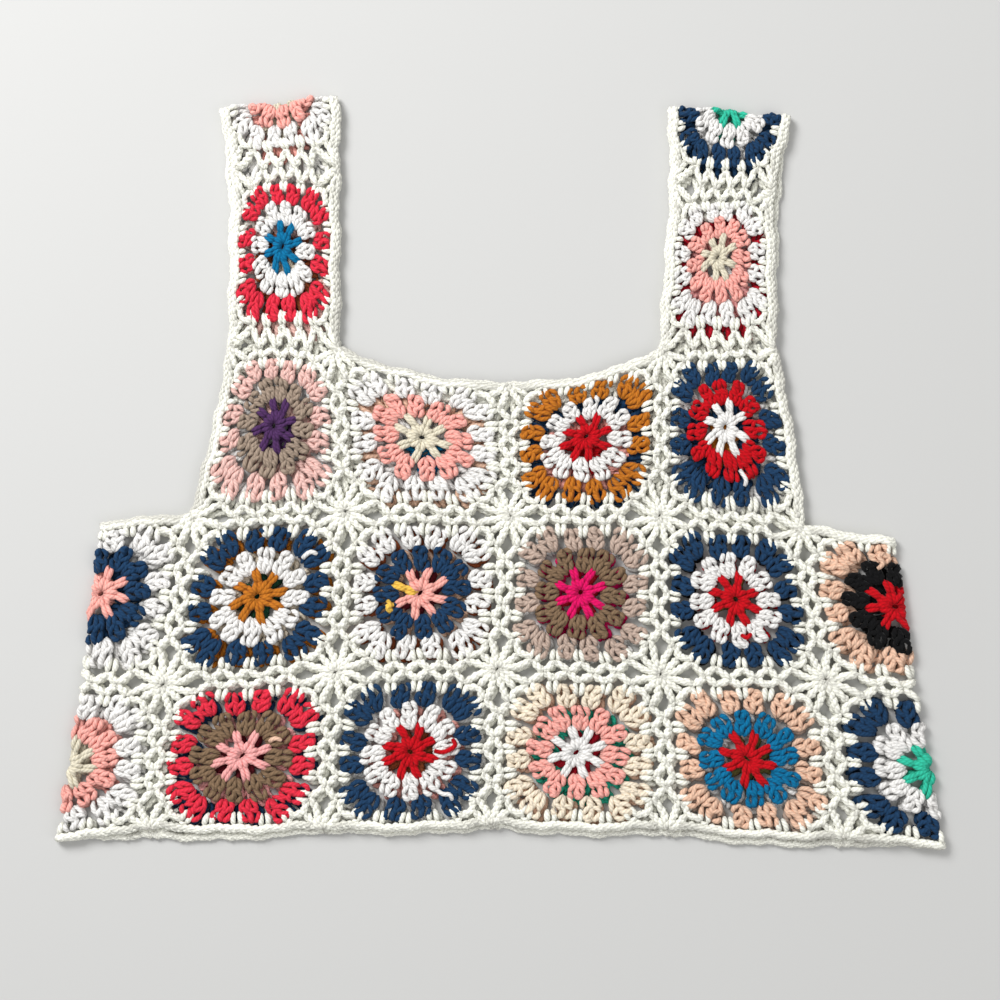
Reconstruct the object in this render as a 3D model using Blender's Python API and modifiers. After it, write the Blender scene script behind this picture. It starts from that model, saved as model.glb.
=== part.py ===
"""Crochet top of joined granny squares, laid out flat.

Metres, +X to the right as the front faces the viewer, +Y from hem to neck, +Z up.
Left and right in names are the viewer's. The back layer rests on z = 0 and the front
layer lies on it. Every square is one plain wall; the squares are 0.3 mm apart along
their joins.
"""
import math

import bmesh
import bpy
from mathutils import Vector

MM = 0.001
WALL = 3.6            # thickness of one layer of crochet
SEAM = 0.3            # air between neighbouring pieces and between the two layers
FOLD_CLEAR = 0.4      # how far a folded square stops short of its side edges, which run askew
EDGING = 4.2          # width of the crocheted edging round every opening
BACK_Z = WALL / 2                      # middle of the back layer
FRONT_Z = WALL + SEAM + WALL / 2       # middle of the front layer
FOLD_R = (FRONT_Z - BACK_Z) / 2        # middle radius of a folded square
FOLD_Z = (FRONT_Z + BACK_Z) / 2
CELLS = 4             # cells along a square
ARC_CELLS = 6         # cells round a fold

# Joints of the squares, mm: x across, y up from the middle of the hem.
# The fold columns give the outermost line of the rolled side.
COLUMNS = ("fold_left", "s1", "s2", "s3", "s4", "s5", "fold_right")
FRONT_JOINTS = {
    "hem": ((-271.8, -1.5), (-215.6, 7), (-109.8, 7.6), (-6.5, 9.8), (103, 7.6), (211.9, 0.5), (271.8, -5.8)),
    "low": ((-256.1, 94), (-207.6, 92.9), (-101.2, 101.5), (-1.5, 102.1), (98.7, 99.6), (198.9, 95.3), (254.9, 89.8)),
    "mid": ((-245.5, 190), (-188.5, 195.5), (-95, 198.6), (5.8, 197.4), (97.5, 197.4), (184.2, 188.3), (241.8, 179.5)),
}
BACK_JOINTS = {
    "hem": ((-271.8, -1.5), (-214, 0.5), (-108.5, 4.4), (-5, 6.5), (104.5, 3), (210.5, -4.5), (271.8, -5.8)),
    "low": ((-256.1, 94), (-205.5, 92), (-100, 99.5), (0, 100.5), (99.8, 98.5), (197.5, 94.6), (254.9, 89.8)),
    "mid": ((-245.5, 190), (-187, 193.5), (-94, 196.4), (4.4, 195.6), (97, 195.8), (183.4, 187.6), (241.8, 179.5)),
}
# Joints above the chest row: outer and inner edge of each strap, and the middle of the neck.
STRAP_COLUMNS = ("left_outer", "left_inner", "middle", "right_inner", "right_outer")
FRONT_CHEST = ((-164.3, 300), (-102.6, 298.4), (5.8, 276), (100.7, 297.4), (166.8, 300))
BACK_CHEST = ((-163.8, 290.5), (-102.2, 288.6), (4.4, 268), (100.4, 287.8), (166.2, 289))
# Strap joints: outer edge, inner edge.
STRAPS = {
    "left": {"front": ((-160.8, 409.6), (-102.7, 411.6)), "fold": ((-168.4, 446.8), (-102.6, 453.8)),
             "back": ((-163.5, 389), (-102.6, 391.5))},
    "right": {"front": ((164.4, 397.6), (109.5, 399.6)), "fold": ((174.4, 441.6), (107.2, 447.8)),
              "back": ((168, 391), (108, 394.5))},
}
# How far a free edge bows from the straight line between its joints (+ = away from the square).
NECK_BOW = -6.5
CHEST_SIDE_BOW = -3.0
HEM_BOW = 3.2

# Colour of the last coloured round of each square.
YARNS = {
    "white": (0.83, 0.85, 0.86), "cream": (0.84, 0.82, 0.71), "navy": (0.020, 0.070, 0.180),
    "dusty_pink": (0.74, 0.42, 0.38), "mustard": (0.60, 0.21, 0.013), "coral_red": (0.86, 0.055, 0.085),
    "rose_taupe": (0.51, 0.30, 0.26), "black": (0.006, 0.006, 0.007), "tan": (0.78, 0.43, 0.26),
    "cream_yellow": (0.86, 0.71, 0.45), "rust": (0.33, 0.075, 0.022), "crimson": (0.58, 0.010, 0.024),
}
OUTER_YARN = {
    "front_chest": ("dusty_pink", "white", "mustard", "navy"),
    "front_waist": ("navy", "white", "rose_taupe", "navy"),
    "front_hem": ("coral_red", "navy", "cream_yellow", "tan"),
    "back_chest": ("white", "tan", "navy", "white"),
    "back_waist": ("mustard", "rust", "white", "black"),
    "back_hem": ("navy", "white", "tan", "rose_taupe"),
    "side_left": ("white", "white"), "side_right": ("tan", "white"),
    "strap_left": ("coral_red", "white", "dusty_pink"), "strap_right": ("white", "navy", "crimson"),
}


def mix(a, b, t):
    return tuple(p + (q - p) * t for p, q in zip(a, b))


def flat_square(corners, z, facing, bows=None):
    """Surface of a flat square from its corners bl, br, tr, tl; bows bend its free edges."""
    bl, br, tr, tl = (Vector(c) for c in corners)
    bows = bows or {}

    def bowed(a, b, t, amount):
        side = Vector((b.y - a.y, a.x - b.x)).normalized()
        return a.lerp(b, t) + side * amount * 4 * t * (1 - t)

    def at(u, v):
        bottom = bowed(bl, br, u, bows.get("bottom", 0))
        right = bowed(br, tr, v, bows.get("right", 0))
        top = bowed(tr, tl, 1 - u, bows.get("top", 0))
        left = bowed(tl, bl, 1 - v, bows.get("left", 0))
        ruled = bl.lerp(br, u).lerp(tl.lerp(tr, u), v)
        p = bottom.lerp(top, v) + left.lerp(right, u) - ruled
        return Vector((p.x, p.y, z)), Vector((0, 0, facing))

    width, height = (br - bl).length, (tl - bl).length
    return {"at": at, "size": (width, height)}


def folded(starts, folds, ends, outward):
    """Surface of a square folded round a line. starts, folds, ends are pairs of joints at
    t = 0 and t = 1: front seam, outermost line of the fold, back seam. outward is the
    direction in which the fold faces. The first parameter runs 0..3: front, arc, back."""
    outward = Vector(outward)

    def at(q, t):
        first, last = Vector(mix(*starts, t)), Vector(mix(*ends, t))
        centre = Vector(mix(*folds, t)) - outward * (FOLD_R + WALL / 2)
        if q <= 1:
            p = first.lerp(centre, q)
            return Vector((p.x, p.y, FRONT_Z)), Vector((0, 0, 1))
        if q >= 2:
            p = centre.lerp(last, q - 2)
            return Vector((p.x, p.y, BACK_Z)), Vector((0, 0, -1))
        turn = math.pi * (q - 1)
        normal = Vector((outward.x * math.sin(turn), outward.y * math.sin(turn), math.cos(turn)))
        return Vector((centre.x, centre.y, FOLD_Z)) + normal * FOLD_R, normal

    start_run = (Vector(starts[0]) - Vector(folds[0])).length
    end_run = (Vector(ends[0]) - Vector(folds[0])).length
    across = (Vector(starts[1]) - Vector(starts[0])).length
    return {"at": at, "fold": True, "size": (start_run, end_run, across)}


def fold_stations():
    half = CELLS // 2
    flat = [i / half for i in range(half)]
    arc = [1 + i / ARC_CELLS for i in range(ARC_CELLS)]
    return flat + arc + [2 + i / half for i in range(half + 1)]


def joint(table, level, column):
    return table[level][COLUMNS.index(column)]


def chest_joint(row, column):
    return row[STRAP_COLUMNS.index(column)]


def lay_out():
    """Every square of the garment as a named surface."""
    squares = {}
    tops = (("left_outer", "left_inner"), ("left_inner", "middle"), ("middle", "right_inner"),
            ("right_inner", "right_outer"))
    for layer, table, chest, z, facing in (("front", FRONT_JOINTS, FRONT_CHEST, FRONT_Z, 1),
                                           ("back", BACK_JOINTS, BACK_CHEST, BACK_Z, -1)):
        for n in range(4):
            left, right = COLUMNS[n + 1], COLUMNS[n + 2]
            for row, low, high in (("hem", "hem", "low"), ("waist", "low", "mid")):
                corners = (joint(table, low, left), joint(table, low, right),
                           joint(table, high, right), joint(table, high, left))
                bows = {"bottom": HEM_BOW} if row == "hem" else None
                squares[f"{layer}_{row}_{n + 1}"] = flat_square(corners, z, facing, bows)
            corners = (joint(table, "mid", left), joint(table, "mid", right),
                       chest_joint(chest, tops[n][1]), chest_joint(chest, tops[n][0]))
            bows = ({"left": CHEST_SIDE_BOW}, {"top": NECK_BOW}, {"top": NECK_BOW}, {"right": CHEST_SIDE_BOW})[n]
            squares[f"{layer}_chest_{n + 1}"] = flat_square(corners, z, facing, bows)
    for side, seam, fold, out in (("left", "s1", "fold_left", (-1, 0)), ("right", "s5", "fold_right", (1, 0))):
        for row, low, high in (("hem", "hem", "low"), ("waist", "low", "mid")):
            squares[f"side_{side}_{row}"] = folded(
                (joint(FRONT_JOINTS, low, seam), joint(FRONT_JOINTS, high, seam)),
                (joint(FRONT_JOINTS, low, fold), joint(FRONT_JOINTS, high, fold)),
                (joint(BACK_JOINTS, low, seam), joint(BACK_JOINTS, high, seam)), out)
    for side, strap in STRAPS.items():
        order = ("left_outer", "left_inner") if side == "left" else ("right_inner", "right_outer")

        def across(pair):
            outer, inner = pair
            return (outer, inner) if side == "left" else (inner, outer)

        for layer, chest, z, facing in (("front", FRONT_CHEST, FRONT_Z, 1), ("back", BACK_CHEST, BACK_Z, -1)):
            top = across(strap[layer])
            corners = (chest_joint(chest, order[0]), chest_joint(chest, order[1]), top[1], top[0])
            squares[f"strap_{side}_{layer}"] = flat_square(corners, z, facing)
        squares[f"strap_{side}_shoulder"] = folded(across(strap["front"]), across(strap["fold"]),
                                                   across(strap["back"]), (0, 1))
    return squares


def panel(name, columns, rows, place, yarn, home):
    """A grid of cells carried onto a surface and thickened to the wall."""
    bm = bmesh.new()
    bmesh.ops.create_grid(bm, x_segments=columns, y_segments=rows, size=1)
    for vert in bm.verts:
        vert.co = place(round((vert.co.x + 1) / 2 * columns), round((vert.co.y + 1) / 2 * rows)) * MM
    bmesh.ops.remove_doubles(bm, verts=bm.verts, dist=1e-6)
    bmesh.ops.recalc_face_normals(bm, faces=bm.faces)
    mesh = bpy.data.meshes.new(name)
    bm.to_mesh(mesh)
    bm.free()
    piece = bpy.data.objects.new(name, mesh)
    home.objects.link(piece)
    mesh.materials.append(yarn)
    wall = piece.modifiers.new("wall", "SOLIDIFY")
    wall.thickness = WALL * MM
    wall.offset = 0
    wall.use_even_offset = True
    return piece


def square_panel(name, square, yarn, home):
    """A square, kept half a seam inside its joints."""
    inset = SEAM / 2
    if square.get("fold"):
        start_run, end_run, across = square["size"]
        stations = fold_stations()
        stations[0] = inset / start_run
        stations[-1] = 3 - inset / end_run
        edge = FOLD_CLEAR / across

        def place(i, j):
            t = min(max(j / CELLS, edge), 1 - edge)
            return square["at"](stations[i], t)[0]
        return panel(name, len(stations) - 1, CELLS, place, yarn, home)
    width, height = square["size"]

    def place(i, j):
        u = min(max(i / CELLS, inset / width), 1 - inset / width)
        v = min(max(j / CELLS, inset / height), 1 - inset / height)
        return square["at"](u, v)[0]
    return panel(name, CELLS, CELLS, place, yarn, home)


def edge_points(square, edge, reverse):
    """Points and outward normals along one edge of a square."""
    if square.get("fold"):
        if edge in ("t0", "t1"):
            pairs = [(q, 0.0 if edge == "t0" else 1.0) for q in fold_stations()]
        else:
            pairs = [(0.0 if edge == "start" else 3.0, i / CELLS) for i in range(CELLS + 1)]
    else:
        steps = [i / CELLS for i in range(CELLS + 1)]
        pairs = {"bottom": [(s, 0) for s in steps], "top": [(s, 1) for s in steps],
                 "left": [(0, s) for s in steps], "right": [(1, s) for s in steps]}[edge]
    points = [square["at"](*pair) for pair in pairs]
    return points[::-1] if reverse else points


# Each edging follows the free edges of these squares in order; "-" walks an edge backwards.
EDGINGS = {
    "neck_edging": (
        "front_chest_2.top", "front_chest_3.top", "strap_right_front.left", "strap_right_shoulder.t0",
        "-strap_right_back.left", "-back_chest_3.top", "-back_chest_2.top", "strap_left_back.right",
        "-strap_left_shoulder.t1", "-strap_left_front.right"),
    "armhole_edging_left": (
        "front_chest_1.left", "strap_left_front.left", "strap_left_shoulder.t0", "-strap_left_back.left",
        "-back_chest_1.left", "-side_left_waist.t1"),
    "armhole_edging_right": (
        "-front_chest_4.right", "side_right_waist.t1", "back_chest_4.right", "strap_right_back.right",
        "-strap_right_shoulder.t1", "-strap_right_front.right"),
    "hem_edging": (
        "-front_hem_4.bottom", "-front_hem_3.bottom", "-front_hem_2.bottom", "-front_hem_1.bottom",
        "side_left_hem.t0", "back_hem_1.bottom", "back_hem_2.bottom", "back_hem_3.bottom",
        "back_hem_4.bottom", "-side_right_hem.t0"),
}


def edging(name, squares, yarn, home):
    """A closed strip lying along free edges, mitred where they turn."""
    path = []
    for step in EDGINGS[name]:
        node, edge = step.lstrip("-").rsplit(".", 1)
        for point, normal in edge_points(squares[node], edge, step.startswith("-")):
            if not path or (point - path[-1][0]).length > 0.01:
                path.append((point, normal))
    if (path[0][0] - path[-1][0]).length < 0.01:
        path.pop()
    count = len(path)
    sides = []
    for i in range(count):
        (a, na), (b, nb) = path[i], path[(i + 1) % count]
        sides.append((b - a).cross(na + nb).normalized() * -1)
    outs = []
    for i in range(count):
        before, after = sides[i - 1], sides[i]
        outs.append((before + after) / (1 + before.dot(after)))
    reach = (SEAM / 2, SEAM / 2 + EDGING)

    def place(i, j):
        return path[i % count][0] + outs[i % count] * reach[j]
    return panel(name, count, 1, place, yarn, home)


def main():
    for thing in list(bpy.data.objects):
        bpy.data.objects.remove(thing)
    home = bpy.data.collections.new("crochet_top")
    bpy.context.scene.collection.children.link(home)

    yarns = {}
    for colour, rgb in YARNS.items():
        material = bpy.data.materials.new(f"yarn_{colour}")
        material.use_nodes = True
        shader = material.node_tree.nodes["Principled BSDF"]
        shader.inputs["Base Color"].default_value = (*rgb, 1)
        shader.inputs["Roughness"].default_value = 0.85
        shader.inputs["Metallic"].default_value = 0
        material.diffuse_color = (*rgb, 1)
        yarns[colour] = material

    squares = lay_out()
    outer = {}
    for group, colours in OUTER_YARN.items():
        if group.startswith("side"):
            names = (f"{group}_waist", f"{group}_hem")
        elif group.startswith("strap"):
            names = (f"{group}_front", f"{group}_shoulder", f"{group}_back")
        else:
            names = tuple(f"{group}_{n + 1}" for n in range(4))
        outer.update(zip(names, colours))

    pieces = [square_panel(name, square, yarns[outer[name]], home) for name, square in squares.items()]
    pieces += [edging(name, squares, yarns["cream"], home) for name in EDGINGS]

    # The frame's origin is the middle of the underside of the whole garment.
    bpy.context.view_layer.update()
    graph = bpy.context.evaluated_depsgraph_get()
    corners = [Vector(c) for p in pieces for c in p.evaluated_get(graph).bound_box]
    low = Vector(min(c[i] for c in corners) for i in range(3))
    high = Vector(max(c[i] for c in corners) for i in range(3))
    shift = Vector((-(low.x + high.x) / 2, -(low.y + high.y) / 2, -low.z))
    for piece in pieces:
        for vert in piece.data.vertices:
            vert.co += shift


main()
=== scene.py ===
import math
import random

import bmesh
import bpy
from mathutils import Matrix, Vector


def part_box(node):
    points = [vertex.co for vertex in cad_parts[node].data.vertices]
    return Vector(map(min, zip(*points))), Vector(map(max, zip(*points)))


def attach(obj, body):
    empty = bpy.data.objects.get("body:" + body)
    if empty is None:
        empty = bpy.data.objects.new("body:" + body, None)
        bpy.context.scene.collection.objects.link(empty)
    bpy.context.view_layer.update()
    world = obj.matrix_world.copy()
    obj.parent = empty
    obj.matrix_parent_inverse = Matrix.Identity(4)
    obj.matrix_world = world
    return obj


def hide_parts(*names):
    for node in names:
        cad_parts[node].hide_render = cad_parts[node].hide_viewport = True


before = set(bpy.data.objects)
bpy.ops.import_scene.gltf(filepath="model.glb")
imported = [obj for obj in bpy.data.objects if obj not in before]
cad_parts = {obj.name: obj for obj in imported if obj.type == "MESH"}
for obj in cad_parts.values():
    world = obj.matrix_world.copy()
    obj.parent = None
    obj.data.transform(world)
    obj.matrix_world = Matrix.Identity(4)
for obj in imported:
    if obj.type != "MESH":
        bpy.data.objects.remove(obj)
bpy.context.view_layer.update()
mm = 0.001
print("frame loaded")

yarns = {   # base colours as the eye sees them, sRGB 0-255
    "cream": (250, 248, 237), "white": (238, 236, 233), "navy": (24, 58, 92), "red": (194, 2, 20),
    "coral_red": (222, 46, 68), "salmon": (245, 174, 163), "pink": (241, 170, 167),
    "dusty_pink": (230, 188, 179), "taupe": (158, 140, 124), "purple": (78, 46, 92),
    "mustard": (188, 112, 30), "hot_pink": (222, 8, 98), "olive_brown": (128, 104, 80),
    "rose_taupe": (190, 168, 154), "teal_blue": (0, 110, 156), "turquoise": (50, 190, 158),
    "tan": (232, 192, 166), "black": (7, 7, 9), "beige": (222, 214, 192),
    "cream_yellow": (240, 226, 204), "yellow": (236, 190, 80), "rust": (150, 78, 44),
    "crimson": (190, 20, 42), "dark_green": (28, 74, 52), "maroon": (100, 22, 34), "olive": (104, 98, 52),
}


def linear(rgb):
    parts = [c / 255 for c in rgb]
    return [c / 12.92 if c <= 0.04045 else ((c + 0.055) / 1.055) ** 2.4 for c in parts]


class Value:   # a number socket that can stand in a sum
    def __init__(self, tree, socket):
        self.tree = tree
        self.socket = socket

    def math(self, kind, *others):
        node = self.tree.nodes.new("ShaderNodeMath")
        node.operation = kind
        for place, item in zip(node.inputs, (self, *others)):
            plug(self.tree, place, item)
        return Value(self.tree, node.outputs[0])

    def __add__(self, other):
        return self.math("ADD", other)

    def __radd__(self, other):
        return self.math("ADD", other)

    def __sub__(self, other):
        return self.math("SUBTRACT", other)

    def __rsub__(self, other):
        return (self * -1) + other

    def __mul__(self, other):
        return self.math("MULTIPLY", other)

    def __rmul__(self, other):
        return self.math("MULTIPLY", other)


def plug(tree, place, item):
    if isinstance(item, Value):
        tree.links.new(item.socket, place)
    elif isinstance(item, bpy.types.NodeSocket):
        tree.links.new(item, place)
    else:
        place.default_value = item


class Finish:   # a material and its nodes
    def __init__(self, name):
        self.material = bpy.data.materials.new(name)
        self.material.use_nodes = True
        self.tree = self.material.node_tree
        self.shader = self.tree.nodes["Principled BSDF"]

    def node(self, kind, settings=None, **sockets):
        made = self.tree.nodes.new(kind)
        for key, item in (settings or {}).items():
            setattr(made, key, item)
        for key, item in sockets.items():
            plug(self.tree, made.inputs[key.replace("_", " ")], item)
        return made

    def value(self, socket):
        return Value(self.tree, socket)

    def set(self, **sockets):
        for key, item in sockets.items():
            plug(self.tree, self.shader.inputs[key.replace("_", " ")], item)


yarnLook = {
    "plies": 3, "twist": 2400,   # waves round the yarn, and radians of twist in a metre of it
    "fuzzScale": 900.0, "fuzzDetail": 3.0, "fuzzRoughness": 0.65,
    "patchScale": 70.0, "patchDetail": 2.0,
    "deep": 0.55, "light": 1.06, "lighter": 0.003,   # darkest and lightest of a yarn, from its base colour
    # the ply weight paints shade into the grooves between plies and painted light onto their crests; fuzz
    # and patch weights are the yarn's own random tone
    "plyGrooveShade": 0.45, "fuzzTone": 0.55, "patchTone": 0.5, "contrast": 1.1, "toneShift": 0.12,
    "paintedEndShade": 0.75, "endShadeFalloff": 3.0,   # painted shade: a loop's colour is darkened at its ends, where it dives under the next and creases fall
    "plyHeight": 0.6, "fuzzHeight": 0.4, "bump": 0.5, "bumpDistance": 0.0006,
    "roughness": 0.88, "sheen": 0.06, "sheenRoughness": 0.5, "specular": 0.12,
}
colourMix = {"factor": 0, "first": 6, "second": 7, "result": 2}   # sockets of a Mix node set to colour


def yarnFinish(name, rgb):   # plied worsted yarn
    look = yarnLook
    finish = Finish(name)
    along = finish.value(finish.node("ShaderNodeAttribute", {"attribute_name": "along"}).outputs["Fac"])
    turn = finish.node("ShaderNodeAttribute", {"attribute_name": "round"})
    split = finish.node("ShaderNodeSeparateXYZ", Vector=turn.outputs["Vector"])
    angle = finish.value(split.outputs["Y"]).math("ARCTAN2", finish.value(split.outputs["X"]))
    place = finish.node("ShaderNodeTexCoord").outputs["Object"]
    plies = (angle * look["plies"] + along * look["twist"]).math("SINE")
    ply = plies * 0.5 + 0.5
    fuzzNoise = finish.node("ShaderNodeTexNoise", Vector=place, Scale=look["fuzzScale"],
                            Detail=look["fuzzDetail"], Roughness=look["fuzzRoughness"])
    patchNoise = finish.node("ShaderNodeTexNoise", Vector=place, Scale=look["patchScale"],
                             Detail=look["patchDetail"])
    fuzz = finish.value(fuzzNoise.outputs["Fac"])
    patch = finish.value(patchNoise.outputs["Fac"])
    share = finish.value(finish.node("ShaderNodeAttribute", {"attribute_name": "share"}).outputs["Fac"])
    # painted shade mask: 0 in a strand's middle, rising to 1 at its ends, where creases fall
    ends = (share * 2 - 1).math("ABSOLUTE").math("POWER", look["endShadeFalloff"])
    base = linear(rgb)
    deep = [c * look["deep"] for c in base]
    light = [min(1.0, c * look["light"] + look["lighter"]) for c in base]
    # colour ramp factor: the yarn's random tone plus painted shade in the ply grooves and at loop ends
    toneAndShade = ply * look["plyGrooveShade"] + fuzz * look["fuzzTone"] + patch * look["patchTone"]
    toneAndShade = toneAndShade * look["contrast"] - look["toneShift"] - ends * look["paintedEndShade"]
    ramp = finish.node("ShaderNodeMix", {"data_type": "RGBA"})
    plug(finish.tree, ramp.inputs[colourMix["factor"]], toneAndShade.math("MINIMUM", 1.0).math("MAXIMUM", 0.0))
    plug(finish.tree, ramp.inputs[colourMix["first"]], (*deep, 1))
    plug(finish.tree, ramp.inputs[colourMix["second"]], (*light, 1))
    height = ply * look["plyHeight"] + fuzz * look["fuzzHeight"]
    bump = finish.node("ShaderNodeBump", Strength=look["bump"], Distance=look["bumpDistance"], Height=height)
    finish.set(Base_Color=ramp.outputs[colourMix["result"]], Normal=bump.outputs["Normal"])
    finish.set(Roughness=look["roughness"], Specular_IOR_Level=look["specular"])
    finish.set(Sheen_Weight=look["sheen"], Sheen_Roughness=look["sheenRoughness"])
    return finish.material


finishes = {name: yarnFinish(f"yarn_{name}", rgb) for name, rgb in yarns.items()}
print("yarns dyed")

# one layer's thickness, the air between the layers and between squares, how far a fold stands proud, in mm
wall = {"thick": 3.6, "air": 0.3, "proud": 2.0}
backZ = wall["thick"] / 2
frontZ = wall["thick"] * 1.5 + wall["air"]
foldR = (frontZ - backZ) / 2
foldZ = (frontZ + backZ) / 2

# joints in mm from about the middle of the hem; a fold is the outermost line of the rolled side or shoulder
joints = {
    "front": {
        "hem": {"foldLeft": (-271.8, -1.5), "s1": (-215.6, 7), "s2": (-109.8, 7.6), "s3": (-6.5, 9.8),
                "s4": (103, 7.6), "s5": (211.9, 0.5), "foldRight": (271.8, -5.8)},
        "low": {"foldLeft": (-256.1, 94), "s1": (-207.6, 92.9), "s2": (-101.2, 101.5), "s3": (-1.5, 102.1),
                "s4": (98.7, 99.6), "s5": (198.9, 95.3), "foldRight": (254.9, 89.8)},
        "mid": {"foldLeft": (-245.5, 190), "s1": (-188.5, 195.5), "s2": (-95, 198.6), "s3": (5.8, 197.4),
                "s4": (97.5, 197.4), "s5": (184.2, 188.3), "foldRight": (241.8, 179.5)},
        "chest": {"leftOuter": (-164.3, 300), "leftInner": (-102.6, 298.4), "middle": (5.8, 276),
                  "rightInner": (100.7, 297.4), "rightOuter": (166.8, 300)},
    },
    "back": {
        "hem": {"foldLeft": (-271.8, -1.5), "s1": (-214, 0.5), "s2": (-108.5, 4.4), "s3": (-5, 6.5),
                "s4": (104.5, 3), "s5": (210.5, -4.5), "foldRight": (271.8, -5.8)},
        "low": {"foldLeft": (-256.1, 94), "s1": (-205.5, 92), "s2": (-100, 99.5), "s3": (0, 100.5),
                "s4": (99.8, 98.5), "s5": (197.5, 94.6), "foldRight": (254.9, 89.8)},
        "mid": {"foldLeft": (-245.5, 190), "s1": (-187, 193.5), "s2": (-94, 196.4), "s3": (4.4, 195.6),
                "s4": (97, 195.8), "s5": (183.4, 187.6), "foldRight": (241.8, 179.5)},
        "chest": {"leftOuter": (-163.8, 290.5), "leftInner": (-102.2, 288.6), "middle": (4.4, 268),
                  "rightInner": (100.4, 287.8), "rightOuter": (166.2, 289)},
    },
}
straps = {
    "left": {"front": ((-160.8, 409.6), (-102.7, 411.6)), "fold": ((-168.4, 446.8), (-102.6, 453.8)),
             "back": ((-163.5, 389), (-102.6, 391.5))},
    "right": {"front": ((109.5, 399.6), (164.4, 397.6)), "fold": ((107.2, 447.8), (174.4, 441.6)),
              "back": ((108, 394.5), (168, 391))},
}
bows = {"neck": -6.5, "chestLeft": -2.0, "chestRight": 1.5, "hem": 3.2}   # outwards is above 0
# how far a flat square's pattern reaches from its middle, in mm
reaches = {"join": 50.0, "edging": 46.0, "hem": 46.5}
lowCorner = joints["front"]["mid"]["s3"][1] + wall["air"] / 2
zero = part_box("front_chest_3")[0].y / mm - lowCorner   # the joints' own zero in the frame, along Y


def flatSquare(corners, z, facing, bow=None):
    bl, br, tr, tl = (Vector(c) for c in corners)
    bow = bow or {}

    def bowed(a, b, t, amount):
        side = Vector((b.y - a.y, a.x - b.x)).normalized()
        return a.lerp(b, t) + side * amount * 4 * t * (1 - t)

    def at(u, v):
        bottom = bowed(bl, br, u, bow.get("bottom", 0))
        right = bowed(br, tr, v, bow.get("right", 0))
        top = bowed(tr, tl, 1 - u, bow.get("top", 0))
        left = bowed(tl, bl, 1 - v, bow.get("left", 0))
        ruled = bl.lerp(br, u).lerp(tl.lerp(tr, u), v)
        p = bottom.lerp(top, v) + left.lerp(right, u) - ruled
        return Vector((p.x, p.y, z)), Vector((0, 0, facing))
    return at


# the first parameter runs 0..1 by length from the front seam round the fold to the back seam
def foldedSquare(starts, folds, ends, outward):
    outward = Vector(outward)
    inset = foldR + wall["thick"] / 2 - wall["proud"]

    def at(share, t):
        first = Vector(starts[0]).lerp(Vector(starts[1]), t)
        last = Vector(ends[0]).lerp(Vector(ends[1]), t)
        centre = Vector(folds[0]).lerp(Vector(folds[1]), t) - outward * inset
        front = (centre - first).length
        arc = math.pi * foldR
        back = (last - centre).length
        run = share * (front + arc + back)
        if run <= front:
            p = first.lerp(centre, run / front)
            return Vector((p.x, p.y, frontZ)), Vector((0, 0, 1))
        if run >= front + arc:
            p = centre.lerp(last, (run - front - arc) / back)
            return Vector((p.x, p.y, backZ)), Vector((0, 0, -1))
        turn = (run - front) / foldR
        normal = Vector((outward.x * math.sin(turn), outward.y * math.sin(turn), math.cos(turn)))
        return Vector((centre.x, centre.y, foldZ)) + normal * foldR, normal
    return at


def reachTo(**kinds):   # to a join on every side but those named
    reach = dict.fromkeys(("left", "right", "top", "bottom"), reaches["join"])
    reach.update({side: reaches[kind] for side, kind in kinds.items()})
    return reach


def layOut():
    squares = {}
    columns = ("s1", "s2", "s3", "s4", "s5")
    tops = ("leftOuter", "leftInner", "middle", "rightInner", "rightOuter")
    layers = (("front", frontZ, 1), ("back", backZ, -1))
    bodyRows = (("hem", "hem", "low"), ("waist", "low", "mid"))
    neck = {"top": bows["neck"]}
    chestBows = ({"left": bows["chestLeft"]}, neck, neck, {"right": bows["chestRight"]})
    for layer, z, facing in layers:
        rows = joints[layer]
        for n in range(len(columns) - 1):
            left = columns[n]
            right = columns[n + 1]
            for row, low, high in bodyRows:
                corners = (rows[low][left], rows[low][right], rows[high][right], rows[high][left])
                bow = {"bottom": bows["hem"]} if row == "hem" else None
                reach = reachTo(bottom="hem") if row == "hem" else reachTo()
                squares[f"{layer}_{row}_{n + 1}"] = (flatSquare(corners, z, facing, bow), reach, facing < 0)
            corners = (rows["mid"][left], rows["mid"][right],
                       rows["chest"][tops[n + 1]], rows["chest"][tops[n]])
            reach = reachTo(**dict.fromkeys(chestBows[n], "edging"))
            at = flatSquare(corners, z, facing, chestBows[n])
            squares[f"{layer}_chest_{n + 1}"] = (at, reach, facing < 0)
    front = joints["front"]
    back = joints["back"]
    for side, seam, fold, out in (("left", "s1", "foldLeft", (-1, 0)), ("right", "s5", "foldRight", (1, 0))):
        for row, low, high in bodyRows:
            at = foldedSquare((front[low][seam], front[high][seam]),
                              (front[low][fold], front[high][fold]),
                              (back[low][seam], back[high][seam]), out)
            reach = reachTo(bottom="hem") if row == "hem" else reachTo(top="edging")
            squares[f"side_{side}_{row}"] = (at, reach, side == "left")
    for side, strap in straps.items():
        inner, outer = ("leftOuter", "leftInner") if side == "left" else ("rightInner", "rightOuter")
        reach = reachTo(left="edging", right="edging")
        for layer, z, facing in layers:
            low = joints[layer]["chest"]
            corners = (low[inner], low[outer], strap[layer][1], strap[layer][0])
            squares[f"strap_{side}_{layer}"] = (flatSquare(corners, z, facing), reach, facing < 0)
        over = foldedSquare(strap["front"], strap["fold"], strap["back"], (0, 1))
        squares[f"strap_{side}_shoulder"] = ((lambda u, v, over=over: over(v, u)), reach, False)
    return squares


squares = layOut()
print("squares laid out", len(squares))

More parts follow.
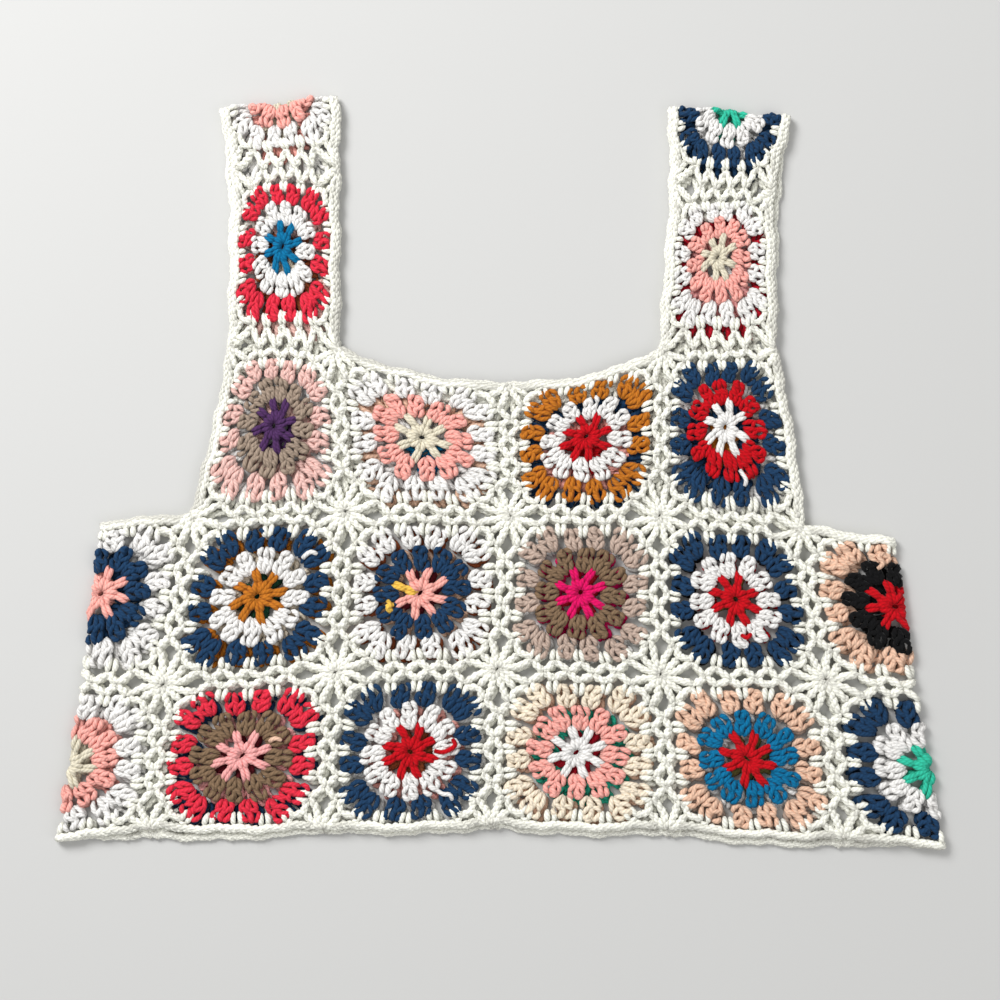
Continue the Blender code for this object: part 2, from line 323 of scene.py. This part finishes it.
handSway = {   # waves over the whole garment: height in mm, radians a mm along x and along y, start
    "x": ((0.7, 0.05, 0.17, 0.7), (0.45, -0.11, 0.43, 0)),
    "y": ((0.7, 0.15, -0.06, 2.1), (0.45, 0.39, 0.13, 0)),
}


def wander(p):   # nothing made by hand lies quite straight
    moved = {"x": p.x, "y": p.y}
    for axis, waves in handSway.items():
        for height, alongX, alongY, start in waves:
            moved[axis] += height * math.sin(alongX * p.x + alongY * p.y + start)
    return Vector((moved["x"], moved["y"], p.z))


# stitches are made in mm on a flat square
# a strand is its points (x, y, height), the radius at each of them, and its yarn
loopLook = {
    # share of the way along, share of the size there
    "fatness": ((0, 0.5), (0.2, 0.88), (0.5, 1.0), (0.8, 0.88), (1, 0.5)),
    "low": -0.4,   # height that its ends come down towards
    "dip": 0.08, "arch": 0.84,   # where on half a wave its rise begins, and how much of the wave it takes
}


# one plump loop of yarn from a to b, bent sideways towards out
def bulge(a, b, out, lift, size, low=loopLook["low"]):
    a = Vector(a)
    b = Vector(b)
    out = Vector(out)
    points = []
    sizes = []
    for t, fat in loopLook["fatness"]:
        p = a.lerp(out, t).lerp(out.lerp(b, t), t)
        rise = math.sin(math.pi * (loopLook["dip"] + loopLook["arch"] * t))
        points.append((p.x, p.y, low + (lift - low) * rise))
        sizes.append(size * fat)
    return points, sizes


clusterLook = {
    "size": 1.68, "thin": 0.94, "fat": 1.05,
    "alongShake": 0.03, "acrossShake": 0.1, "liftShake": 0.15,
    "otherWay": 0.4,   # share of clusters hooked the second way
    "post": {"start": 0.03, "end": 0.99, "bend": 0.55, "lift": -0.2, "low": -0.1, "widthShare": 0.2},
    "ways": (   # loops: start along, across; end along, across; bend along, across; lift, size
        (
            (0.00, -0.22, 0.60, -0.70, 0.28, -0.98, 0.6, 1.00),
            (0.00, 0.00, 0.62, 0.06, 0.30, -0.06, 1.1, 0.98),
            (0.00, 0.22, 0.58, 0.72, 0.28, 0.98, 0.6, 1.00),
            (0.30, -0.80, 0.66, 0.00, 0.40, -0.30, 1.5, 0.86),
            (0.40, 0.10, 0.62, 0.92, 0.42, 0.62, 1.3, 0.86),
            (0.60, -0.84, 0.95, -0.30, 0.88, -0.88, 1.1, 1.02),
            (0.97, -0.14, 0.62, 0.26, 0.84, -0.10, 1.6, 1.04),
            (0.62, 0.86, 0.95, 0.40, 0.90, 0.90, 1.1, 1.02),
        ),
        (
            (0.00, -0.10, 0.50, -0.74, 0.24, -0.98, 0.6, 1.00),
            (0.00, 0.14, 0.56, 0.70, 0.26, 1.00, 0.7, 1.00),
            (0.06, 0.02, 0.50, 0.02, 0.30, 0.10, 1.2, 0.94),
            (0.34, 0.34, 0.80, -0.74, 0.44, -0.84, 1.5, 0.92),
            (0.44, -0.10, 0.76, 0.82, 0.46, 0.74, 1.2, 0.92),
            (0.66, 0.20, 0.94, -0.66, 0.84, -0.40, 1.6, 0.98),
            (0.70, 0.84, 0.97, 0.16, 0.92, 0.66, 1.2, 1.02),
            (0.74, -0.80, 0.96, 0.00, 0.96, -0.50, 1.0, 0.98),
        ),
    ),
}


def cluster(base, tip, width, yarn, rng):
    look = clusterLook
    base = Vector(base)
    axis = Vector(tip) - base
    side = Vector((axis.y, -axis.x)).normalized() * width / 2
    flip = 1 if rng.random() < 0.5 else -1
    made = []

    def spot(along, across):
        along += rng.uniform(-look["alongShake"], look["alongShake"])
        across += rng.uniform(-look["acrossShake"], look["acrossShake"])
        return base + axis * along + side * flip * across
    way = 1 if rng.random() < look["otherWay"] else 0
    for a0, w0, a1, w1, am, wm, lift, fat in look["ways"][way]:
        points, sizes = bulge(spot(a0, w0), spot(a1, w1), spot(am, wm),
                              lift + rng.uniform(-look["liftShake"], look["liftShake"]),
                              look["size"] * fat * rng.uniform(look["thin"], look["fat"]))
        made.append((points, sizes, yarn))
    post = look["post"]   # one thick strand stands for the posts behind
    points, sizes = bulge(spot(post["start"], 0), spot(post["end"], 0), spot(post["bend"], 0),
                          post["lift"], width * post["widthShare"], post["low"])
    made.append((points, sizes, yarn))
    return made


spokeLook = {
    "thin": 0.94, "fat": 1.06, "liftShake": 0.15, "hiddenLow": -0.6,
    # start out, across; end out, across; bend across, lift, size; the last one lies under the others
    "loops": (
        (1.8, -0.5, 10.5, -1.2, -1.8, 0.7, 1.8),
        (2.2, 0.8, 9.6, 1.3, 1.8, 1.1, 1.75),
        (7.4, -0.8, 17.4, -1.35, -1.2, 1.3, 1.6),
        (8.6, 0.9, 18.2, 1.3, 1.1, 1.1, 1.6),
        (3.0, 0.0, 17.2, 0.0, 0.0, -0.7, 1.7),
    ),
}


def spoke(angle, yarn, rng):
    look = spokeLook
    out = Vector((math.cos(angle), math.sin(angle)))
    side = Vector((-out.y, out.x))
    made = []
    for r0, w0, r1, w1, bend, lift, size in look["loops"]:
        a = out * r0 + side * w0
        b = out * r1 + side * w1
        c = out * (r0 + r1) / 2 + side * bend
        low = loopLook["low"] if lift > 0 else look["hiddenLow"]
        points, sizes = bulge(a, b, c, lift + rng.uniform(-look["liftShake"], look["liftShake"]),
                              size * rng.uniform(look["thin"], look["fat"]), low)
        made.append((points, sizes, yarn))
    return made


chainLook = {
    "size": 1.7, "spread": 1.1, "flatness": 0.9, "pitch": 8.0, "step": 2.0, "fewest": 4, "height": 0.3,
    "shake": 0.22, "endSize": 0.6, "thin": 0.9, "fat": 1.1,
}


# two yarns wound round each other along a line: a crochet chain
def chainAlong(path, yarn, rng):
    look = chainLook
    line = [Vector(p) for p in path]
    lengths = [(b - a).length for a, b in zip(line, line[1:])]
    total = sum(lengths)
    count = max(look["fewest"], round(total / look["step"]))
    start = rng.uniform(0, math.tau)
    made = []
    for strand in range(2):
        points = []
        sizes = []
        for i in range(count + 1):
            run = total * i / count
            k = 0
            while k < len(lengths) - 1 and run > lengths[k]:
                run -= lengths[k]
                k += 1
            p = line[k].lerp(line[k + 1], min(1.0, run / lengths[k]))
            t = (line[k + 1] - line[k]).normalized()
            turn = start + math.pi * strand + math.tau * total * i / count / look["pitch"]
            p = p + Vector((-t.y, t.x)) * look["spread"] * math.cos(turn)
            shakeX = rng.uniform(-look["shake"], look["shake"])
            shakeY = rng.uniform(-look["shake"], look["shake"])
            p = p + Vector((shakeX, shakeY))
            points.append((p.x, p.y, look["height"] + look["spread"] * look["flatness"] * math.sin(turn)))
            fat = look["endSize"] if i in (0, count) else rng.uniform(look["thin"], look["fat"])
            sizes.append(look["size"] * fat)
        made.append((points, sizes, yarn))
    return made


stubLook = {
    "legs": ((-1.8, 0.9), (1.8, 1.0)),   # across, lift
    "size": 1.85, "thin": 0.93, "fat": 1.07, "footShare": 0.7, "bellyShare": 1.5,
    "topWide": 2.2, "topBend": 0.25, "topLift": 0.7, "topSize": 1.35,
}


def stub(base, tip, yarn, rng):   # a short single crochet
    look = stubLook
    base = Vector(base)
    tip = Vector(tip)
    axis = tip - base
    side = Vector((axis.y, -axis.x)).normalized()
    made = []
    for w, lift in look["legs"]:
        points, sizes = bulge(base + side * w * look["footShare"], tip + side * w,
                              base + axis * 0.5 + side * w * look["bellyShare"],
                              lift, look["size"] * rng.uniform(look["thin"], look["fat"]))
        made.append((points, sizes, yarn))
    points, sizes = bulge(tip - side * look["topWide"], tip + side * look["topWide"],
                          tip + axis * look["topBend"], look["topLift"], look["topSize"])
    made.append((points, sizes, yarn))
    return made


def turned(point, angle):
    c, s = math.cos(angle), math.sin(angle)
    return Vector((point[0] * c - point[1] * s, point[0] * s + point[1] * c))


roundLook = {
    "spokes": 8, "firstSpoke": 22.5, "spokeShake": 0.07, "oddSpoke": 3,
    "ring": {"radius": 2.6, "height": -0.5, "size": 1.1, "sides": 8},
    "shake": 0.4,
    "quarter": (   # round; base x, y and share of the turn; tip x, y and share of the turn; width
        ("second", (0, 13.6, 0.9), (0, 30.0, 0.7), 10.2),
        ("second", (8.8, 12.8, 0.8), (15.6, 27.2, 0.6), 10.3),
        ("second", (12.8, 8.8, 0.8), (27.2, 15.6, 0.6), 10.3),
        ("third", (-6.4, 27.2, 0.4), (-8.8, 42.0, 0.15), 11.8),
        ("third", (6.4, 27.2, 0.4), (8.8, 42.0, 0.15), 11.8),
        ("third", (20.4, 25.6, 0.4), (28.2, 40.6, 0.15), 12.4),
        ("third", (25.6, 20.4, 0.4), (40.6, 28.2, 0.15), 12.4),
    ),
    "cornerChains": (((30.5, 41.0), (38.4, 38.4), (41.0, 30.5)), ((39.0, 39.0), (49.0, 49.0))),
}
laceLook = {
    "yarn": "cream", "shake": 0.3,
    "stubs": (-15.6, 0, 15.6), "lean": 0.98,   # across, and how much nearer the middle their feet stand
    "top": 45.0, "topRoom": 0.5, "foot": 8.5, "tip": 1,   # top of the round; foot and tip below it
    "outerFoot": (27.4, 35.5, 9), "outerTip": (30.0, 42.5, 2),   # across, out, least room to the edge
    "hooks": (-30.0, -15.6, 0, 15.6, 30.0), "meets": (-22.4, -7.8, 7.8, 22.4),   # chains zigzag to the join
    "hookAt": 44.6, "outerHookAt": 43.0, "outerFrom": 20, "meetsAt": 49.6,
    "cornerChain": ((30.0, 43.0), (40.0, 47.2), (49.0, 49.4)),
    "edgeRoom": 0.6, "edgeEnd": 1,   # a free edge's chain: how far inside it, how far short of its end
}


# every strand of one square, flat, with its middle at 0
def grannySquare(colours, reach, twist, rng, oddSpoke=None):
    look = roundLook
    yarnOf = dict(zip(("centre", "second", "third"), colours))
    twist = math.radians(twist)
    strands = []
    for k in range(look["spokes"]):
        yarn = oddSpoke if oddSpoke and k == look["oddSpoke"] else yarnOf["centre"]
        angle = math.radians(look["firstSpoke"] + 360 / look["spokes"] * k) + twist
        strands += spoke(angle + rng.uniform(-look["spokeShake"], look["spokeShake"]), yarn, rng)
    ring = look["ring"]
    turns = [math.tau * i / ring["sides"] for i in range(ring["sides"] + 1)]
    points = [(ring["radius"] * math.cos(a), ring["radius"] * math.sin(a), ring["height"]) for a in turns]
    strands.append((points, [ring["size"]] * len(points), yarnOf["centre"]))
    for quarter in range(4):
        q = math.pi / 2 * quarter

        def place(x, y, share):
            x += rng.uniform(-look["shake"], look["shake"])
            y += rng.uniform(-look["shake"], look["shake"])
            return turned((x, y), q + twist * share)
        for which, base, tip, width in look["quarter"]:
            strands += cluster(place(*base), place(*tip), width, yarnOf[which], rng)
        for chain in look["cornerChains"]:
            strands += chainAlong([turned(p, q) for p in chain], laceLook["yarn"], rng)
    for side, q in (("top", 0.0), ("left", math.pi / 2), ("bottom", math.pi), ("right", -math.pi / 2)):
        strands += laceSide(reach[side], q, rng)
    return strands


def laceSide(far, q, rng):   # the cream stitches on one side, out to its join or its edging
    look = laceLook
    yarn = look["yarn"]
    strands = []

    def spot(x, y):
        return turned((x + rng.uniform(-look["shake"], look["shake"]), y), q)
    top = min(look["top"], far - look["topRoom"])
    for x in look["stubs"]:
        strands += stub(spot(x * look["lean"], top - look["foot"]), spot(x, top - look["tip"]), yarn, rng)
    for x in (-1, 1):
        ends = [spot(across * x, min(out, far - room))
                for across, out, room in (look["outerFoot"], look["outerTip"])]
        strands += stub(*ends, yarn, rng)
    if far == reaches["join"]:
        hooks = look["hooks"]
        for a, b, mid in zip(hooks, hooks[1:], look["meets"]):
            join = spot(mid, look["meetsAt"])
            for x in (a, b):
                hook = spot(x, look["outerHookAt"] if abs(x) > look["outerFrom"] else look["hookAt"])
                strands += chainAlong([hook, join], yarn, rng)
        for x in (-1, 1):
            strands += chainAlong([spot(across * x, out) for across, out in look["cornerChain"]], yarn, rng)
    else:
        end = far - look["edgeEnd"]
        strands += chainAlong([spot(across, far - look["edgeRoom"]) for across in (-end, 0, end)], yarn, rng)
    return strands


squareLooks = {   # centre, second and third round, turn of the inner rounds in degrees
    "strap_left_shoulder": ("beige", "salmon", "white", 5),
    "strap_left_front": ("teal_blue", "white", "coral_red", -6),
    "strap_right_shoulder": ("turquoise", "white", "navy", 4),
    "strap_right_front": ("beige", "salmon", "white", 6),
    "strap_left_back": ("cream_yellow", "rust", "dusty_pink", 3),
    "strap_right_back": ("white", "pink", "crimson", -4),
    "front_chest_1": ("purple", "taupe", "dusty_pink", -8),
    "front_chest_2": ("beige", "salmon", "white", 6),
    "front_chest_3": ("red", "white", "mustard", -8),
    "front_chest_4": ("white", "red", "navy", 4),
    "side_left_waist": ("salmon", "navy", "white", 5),
    "front_waist_1": ("mustard", "white", "navy", -6),
    "front_waist_2": ("salmon", "navy", "white", 7),
    "front_waist_3": ("hot_pink", "olive_brown", "rose_taupe", -5),
    "front_waist_4": ("red", "white", "navy", 6),
    "side_right_waist": ("red", "black", "tan", -5),
    "side_left_hem": ("beige", "salmon", "white", 5),
    "front_hem_1": ("pink", "olive_brown", "coral_red", -6),
    "front_hem_2": ("red", "white", "navy", 5),
    "front_hem_3": ("white", "salmon", "cream_yellow", -5),
    "front_hem_4": ("red", "teal_blue", "tan", 6),
    "side_right_hem": ("turquoise", "white", "navy", 4),
    "back_chest_1": ("purple", "dusty_pink", "white", 5),
    "back_chest_2": ("teal_blue", "white", "tan", -6),
    "back_chest_3": ("red", "salmon", "navy", 4),
    "back_chest_4": ("mustard", "navy", "white", -5),
    "back_waist_1": ("dark_green", "cream_yellow", "mustard", 6),
    "back_waist_2": ("maroon", "tan", "rust", -4),
    "back_waist_3": ("crimson", "hot_pink", "white", 5),
    "back_waist_4": ("olive", "red", "black", -6),
    "back_hem_1": ("maroon", "pink", "navy", 4),
    "back_hem_2": ("rust", "salmon", "white", -5),
    "back_hem_3": ("crimson", "turquoise", "tan", 5),
    "back_hem_4": ("olive", "white", "rose_taupe", -4),
}

tubeLook = {"sides": 6, "radius": 1.0}


# geometry nodes: a round tube on each strand, which keeps how far along and how far round it is
def yarnTube():
    group = bpy.data.node_groups.new("yarnTube", "GeometryNodeTree")
    group.interface.new_socket("Geometry", in_out="INPUT", socket_type="NodeSocketGeometry")
    group.interface.new_socket("Geometry", in_out="OUTPUT", socket_type="NodeSocketGeometry")
    nodes = group.nodes
    links = group.links

    def keep(name, kind, geometry, number):
        store = nodes.new("GeometryNodeStoreNamedAttribute")
        store.data_type = kind
        store.inputs["Name"].default_value = name
        links.new(geometry, store.inputs["Geometry"])
        links.new(number, store.inputs["Value"])
        return store.outputs[0]
    start = nodes.new("NodeGroupInput")
    end = nodes.new("NodeGroupOutput")
    spline = nodes.new("GeometryNodeSplineParameter")
    strand = keep("along", "FLOAT", start.outputs[0], spline.outputs["Length"])
    strand = keep("share", "FLOAT", strand, spline.outputs["Factor"])
    circle = nodes.new("GeometryNodeCurvePrimitiveCircle")
    circle.inputs["Resolution"].default_value = tubeLook["sides"]
    circle.inputs["Radius"].default_value = tubeLook["radius"]
    position = nodes.new("GeometryNodeInputPosition")
    profile = keep("round", "FLOAT_VECTOR", circle.outputs["Curve"], position.outputs[0])
    tube = nodes.new("GeometryNodeCurveToMesh")
    tube.inputs["Fill Caps"].default_value = True
    radius = nodes.new("GeometryNodeInputRadius")
    links.new(radius.outputs[0], tube.inputs["Scale"])
    links.new(strand, tube.inputs["Curve"])
    links.new(profile, tube.inputs["Profile Curve"])
    smooth = nodes.new("GeometryNodeSetShadeSmooth")
    links.new(tube.outputs[0], smooth.inputs["Geometry"])
    links.new(smooth.outputs[0], end.inputs[0])
    return group


tubeNodes = yarnTube()


# strands already in the frame, in mm, made one mesh object
def yarnPiece(name, strands):
    used = sorted({yarn for points, sizes, yarn in strands})
    mesh = bpy.data.meshes.new(name)
    whole = bmesh.new()
    for slot, yarn in enumerate(used):
        curve = bpy.data.curves.new(name, "CURVE")
        curve.dimensions = "3D"
        for points, sizes, colour in strands:
            if colour != yarn:
                continue
            spline = curve.splines.new("POLY")
            spline.points.add(len(points) - 1)
            for knot, p, size in zip(spline.points, points, sizes):
                knot.co = (p[0] * mm, p[1] * mm, p[2] * mm, 1)
                knot.radius = size * mm
        rough = bpy.data.objects.new(name + "_line", curve)
        bpy.context.scene.collection.objects.link(rough)
        wrap = rough.modifiers.new("tube", "NODES")
        wrap.node_group = tubeNodes
        part = bpy.data.meshes.new_from_object(rough.evaluated_get(bpy.context.evaluated_depsgraph_get()))
        part.polygons.foreach_set("material_index", [slot] * len(part.polygons))
        whole.from_mesh(part)
        bpy.data.objects.remove(rough)
        bpy.data.curves.remove(curve)
        bpy.data.meshes.remove(part)
        mesh.materials.append(finishes[yarn])
    whole.to_mesh(mesh)
    whole.free()
    piece = bpy.data.objects.new(name, mesh)
    bpy.context.scene.collection.objects.link(piece)
    return piece


strapLook = {
    "rounds": 44, "share": 0.9, "drawn": 39.6,   # reach of the rounds flat, its share and reach as drawn
    "lace": 6, "stretched": 10.4,   # the lace beyond them, flat and stretched
}


# a strap square is stretched: its rounds stay short and the lace beyond them takes up the length
def drawnIn(y):
    look = strapLook
    far = abs(y)
    if far < look["rounds"]:
        return math.copysign(far * look["share"], y)
    return math.copysign(look["drawn"] + (far - look["rounds"]) * look["stretched"] / look["lace"], y)


pulls = {   # how far the middle of each kind of square sits off its centre: across, up
    "strap": (-2, 7), "shoulder": (0, 2), "chest": (-1, 5), "sideWaist": (5, 5), "other": (-1, 0),
}


def pullOn(name):
    if name.startswith("strap"):
        return pulls["shoulder" if name.endswith("shoulder") else "strap"]
    if name.startswith("front_chest"):
        return pulls["chest"]
    if name.startswith("side") and name.endswith("waist"):   # its front half is the half that shows
        across, up = pulls["sideWaist"]
        return (across if "left" in name else -across), up
    return pulls["other"]


layLook = {
    "from": 0.2, "to": 0.3, "apart": 0.1, "middle": 0.25,   # where on the square its stretch is measured
    "thickest": 1.12, "thinning": 0.7,   # most the yarn swells, and how much of a shrinkage it follows
}


# flat strands carried onto the lying garment; the yarn is scaled by how far the square is stretched
def laidOn(strands, at, reach, mirrored, strap, drawn):
    look = layLook
    wide = reach["left"] + reach["right"]
    tall = reach["bottom"] + reach["top"]
    low = look["from"]
    high = look["to"]
    middle = look["middle"]
    scaleX = (at(low, middle)[0] - at(high, middle)[0]).length / (look["apart"] * wide)
    scaleY = (at(middle, low)[0] - at(middle, high)[0]).length / (look["apart"] * tall)
    scale = min(look["thickest"], math.sqrt(scaleX * scaleY))
    scale = scale if scale > 1 else 1 - (1 - scale) * look["thinning"]
    laid = []
    for points, sizes, yarn in strands:
        moved = []
        for (x, y, h), size in zip(points, sizes):
            y = drawnIn(y) if strap else y
            pull = max(0, 1 - (x / reaches["join"]) ** 2) * max(0, 1 - (y / reaches["join"]) ** 2)
            x += drawn[0] * pull
            y += drawn[1] * pull
            u = (x + reach["left"]) / wide
            v = (y + reach["bottom"]) / tall
            p, n = at(1 - u if mirrored else u, v)
            p = wander(p + n * h)
            moved.append((p.x, p.y + zero, max(p.z, size * scale)))   # pressed flat where it rests
        laid.append((moved, [s * scale for s in sizes], yarn))
    return laid


oddEnds = {   # loose ends and odd loops left in the making: yarn, then the points they pass, height last
    "front_waist_2": (
        ("yellow", (-20.6, -5.5, 1.8), (-17.6, -8.6, 3.2), (-20.8, -10.4, 2.8), (-18.4, -13.0, 1.6)),
        ("yellow", (-16.2, -8.0, 1.4), (-21.6, -8.8, 2.6), (-17.0, -11.8, 1.6)),
    ),
    "front_waist_4": (("red", (3.4, -21.0, 1.2), (6.6, -23.8, 3.0), (9.8, -21.2, 1.2)),),
    "front_hem_2": (
        ("red", (14.0, 1.0, 1.4), (21.0, -0.6, 3.2), (27.0, 2.0, 3.6), (25.4, 6.8, 2.4)),
        ("white", (17.0, -24.0, 1.4), (21.0, -28.6, 3.2), (25.4, -27.0, 3.0), (27.0, -31.0, 2.2)),
    ),
    "front_chest_4": (("white", (8.0, -22.0, 1.4), (11.4, -26.6, 3.2), (9.2, -30.4, 2.6)),),
    "front_waist_1": (("white", (26.0, 23.0, 1.4), (30.0, 27.4, 3.2), (34.6, 25.0, 2.6)),),
    "front_hem_1": (("tan", (16.0, 8.0, 1.6), (19.8, 11.4, 3.2), (23.2, 9.4, 2.2)),),
    "side_right_waist": (
        ("tan", (-9.0, 24.0, 1.4), (-5.0, 28.4, 3.0), (-8.4, 33.0, 2.4), (-3.8, 35.6, 2.0)),
    ),
}
oddSpokes = {"front_waist_2": "yellow"}
looseLook = {"size": 1.4, "tipSize": 1.1, "between": (0, 0.33, 0.67), "roundings": 2}


def looseEnd(yarn, *path):
    look = looseLook
    points = []
    for a, b in zip(path, path[1:]):
        points += [tuple(Vector(a).lerp(Vector(b), t)) for t in look["between"]]
    sizes = [look["size"]] * len(points) + [look["tipSize"]]
    points.append(path[-1])
    for rounding in range(look["roundings"]):
        smoothed = [tuple((Vector(a) + Vector(b) * 2 + Vector(c)) / 4)
                    for a, b, c in zip(points, points[1:], points[2:])]
        points = [points[0], *smoothed, points[-1]]
    return points, sizes, yarn


seeds = {"squares": 400, "edgings": 900}
madeSquares = {}
for count, (name, (at, reach, mirrored)) in enumerate(sorted(squares.items())):
    rng = random.Random(seeds["squares"] + count)
    *colours, twist = squareLooks[name]
    strands = grannySquare(colours, reach, twist, rng, oddSpokes.get(name))
    strands += [looseEnd(*odd) for odd in oddEnds.get(name, ())]
    strands = laidOn(strands, at, reach, mirrored, name.startswith("strap"), pullOn(name))
    piece = yarnPiece(name + "_square", [s for s in strands if s[2] != laceLook["yarn"]])
    lace = yarnPiece(name + "_join", [s for s in strands if s[2] == laceLook["yarn"]])
    for made in (piece, lace):
        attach(made, "root")
    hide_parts(name)
    madeSquares[name] = (piece, lace)
print("squares made", sum(len(p.data.polygons) for pair in madeSquares.values() for p in pair), "faces")

# the free edges each edging runs along, in order; a minus sign walks one backwards
edgings = {
    "neck_edging": (
        "front_chest_2.top", "front_chest_3.top", "strap_right_front.left", "strap_right_shoulder.left",
        "-strap_right_back.left", "-back_chest_3.top", "-back_chest_2.top", "strap_left_back.right",
        "-strap_left_shoulder.right", "-strap_left_front.right",
    ),
    "armhole_edging_left": (
        "front_chest_1.left", "strap_left_front.left", "strap_left_shoulder.left",
        "-strap_left_back.left", "-back_chest_1.left", "-side_left_waist.top",
    ),
    "armhole_edging_right": (
        "-front_chest_4.right", "side_right_waist.top", "back_chest_4.right",
        "strap_right_back.right", "-strap_right_shoulder.right", "-strap_right_front.right",
    ),
    "hem_edging": (
        "-front_hem_4.bottom", "-front_hem_3.bottom", "-front_hem_2.bottom", "-front_hem_1.bottom",
        "side_left_hem.bottom", "back_hem_1.bottom", "back_hem_2.bottom", "back_hem_3.bottom",
        "back_hem_4.bottom", "-side_right_hem.bottom",
    ),
}
edgingLook = {
    "middle": 1.8, "hemMiddle": 0.4,   # how far beyond the squares' edge it runs
    "spread": 1.05, "flatness": 0.8, "size": 1.25, "thin": 0.88, "fat": 1.12, "shake": 0.3,
    "pitch": 11.0, "strands": 3, "step": 1.9,
    "samples": 60, "nearest": 0.2,   # points read along a square's edge, and the least distance between two
}


# close-set points along the free edges, each with its normal, corners counted once
def edgeLine(name):
    look = edgingLook
    line = []
    for walk in edgings[name]:
        node, edge = walk.lstrip("-").rsplit(".", 1)
        at = squares[node][0]
        steps = [i / look["samples"] for i in range(look["samples"] + 1)]
        if walk.startswith("-"):
            steps.reverse()
        for s in steps:
            u, v = {"top": (s, 1), "bottom": (s, 0), "left": (0, s), "right": (1, s)}[edge]
            p, n = at(u, v)
            if not line or (p - line[-1][0]).length > look["nearest"]:
                line.append((p, n))
    if (line[0][0] - line[-1][0]).length < look["nearest"]:
        line.pop()
    return line


def rope(name, seed):   # three strands wound round each other along a closed edge
    rng = random.Random(seed)
    look = edgingLook
    line = edgeLine(name)
    count = len(line)
    outs = []
    for i in range(count):
        (a, na), (b, nb) = line[i - 1], line[(i + 1) % count]
        outs.append((b - a).cross(na + nb).normalized() * -1)
    beyond = look["hemMiddle"] if name == "hem_edging" else look["middle"]
    middle = [line[i][0] + outs[i] * beyond for i in range(count)]
    runs = [0.0]
    for i in range(count):
        runs.append(runs[-1] + (middle[(i + 1) % count] - middle[i]).length)
    total = runs[-1]
    turns = round(total / look["pitch"])
    steps = round(total / look["step"])
    strands = []
    for strand in range(look["strands"]):
        points = []
        sizes = []
        k = 0
        for j in range(steps + 1):
            run = total * j / steps
            while k < count - 1 and runs[k + 1] < run:
                k += 1
            t = (run - runs[k]) / max(1e-6, runs[k + 1] - runs[k])
            nxt = (k + 1) % count
            p = middle[k].lerp(middle[nxt], t)
            out = outs[k].lerp(outs[nxt], t).normalized()
            normal = line[k][1].lerp(line[nxt][1], t).normalized()
            turn = math.tau * (turns * j / steps + strand / look["strands"])
            rise = look["spread"] * look["flatness"] * math.sin(turn)
            p = p + out * look["spread"] * math.cos(turn) + normal * rise
            p = wander(p + out * rng.uniform(-look["shake"], look["shake"]))
            sizes.append(look["size"] * rng.uniform(look["thin"], look["fat"]))
            points.append((p.x, p.y + zero, max(p.z, sizes[-1])))
        strands.append((points, sizes, laceLook["yarn"]))
    return yarnPiece(name + "_rope", strands)


edgingPieces = {}
for count, name in enumerate(sorted(edgings)):
    piece = rope(name, seeds["edgings"] + count)
    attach(piece, "root")
    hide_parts(name)
    edgingPieces[name] = piece
print("edgings made")

# one square that each edging borders; each square's lace and edging, whether it is folded or laid, and the
# square under it are worked out but not used
edged = {"front_chest_2": "neck_edging", "front_chest_1": "armhole_edging_left",
         "front_chest_4": "armhole_edging_right", "front_hem_2": "hem_edging"}
for name, (piece, lace) in madeSquares.items():
    extra = [lace] + ([edgingPieces[edged[name]]] if name in edged else [])
    held = "folded" if "side" in name or "shoulder" in name else "laid"
    under = [name.replace("front", "back") + "_square"] if "front" in name else []

room = {
    "floorSize": 8, "floorColour": (0.56, 0.56, 0.55, 1), "floorRoughness": 0.9,
    "sky": (1, 1, 1, 1), "skyStrength": 0.52,
    # name, place in m, size in m, watts
    "lamps": (("softBox", (-1.1, 1.2, 1.5), 0.9, 50), ("fill", (1.2, -0.9, 1.6), 1.4, 8)),
    "lens": 85, "sensor": 36,   # in mm
    "seen": 0.615, "level": 0.006,   # the camera sees a square 0.615 m wide at this height
    "eyeX": -0.0003, "eyeY": 206.6,   # m from the middle, and mm up from the hem
}
bpy.ops.mesh.primitive_plane_add(size=room["floorSize"])
floor = bpy.context.object
floor.name = "floor"
floorFinish = Finish("paleFloor")
floorFinish.set(Base_Color=room["floorColour"], Roughness=room["floorRoughness"])
floor.data.materials.append(floorFinish.material)

world = bpy.data.worlds.new("softRoom")
bpy.context.scene.world = world
world.use_nodes = True
world.node_tree.nodes["Background"].inputs["Color"].default_value = room["sky"]
world.node_tree.nodes["Background"].inputs["Strength"].default_value = room["skyStrength"]
for name, place, size, power in room["lamps"]:
    light = bpy.data.lights.new(name, "AREA")
    light.size = size
    light.energy = power
    lamp = bpy.data.objects.new(name, light)
    lamp.location = place
    lamp.rotation_euler = (Vector((0, 0, 0)) - Vector(place)).to_track_quat("-Z", "Y").to_euler()
    bpy.context.scene.collection.objects.link(lamp)

lens = bpy.data.cameras.new("camera")
lens.lens = room["lens"]
lens.sensor_width = room["sensor"]
camera = bpy.data.objects.new("camera", lens)
height = room["level"] + room["seen"] * room["lens"] / room["sensor"]
camera.location = (room["eyeX"], (room["eyeY"] + zero) * mm, height)
bpy.context.scene.collection.objects.link(camera)
bpy.context.scene.camera = camera
bpy.context.scene.view_settings.view_transform = "Standard"
print("floor, lamps and camera set")
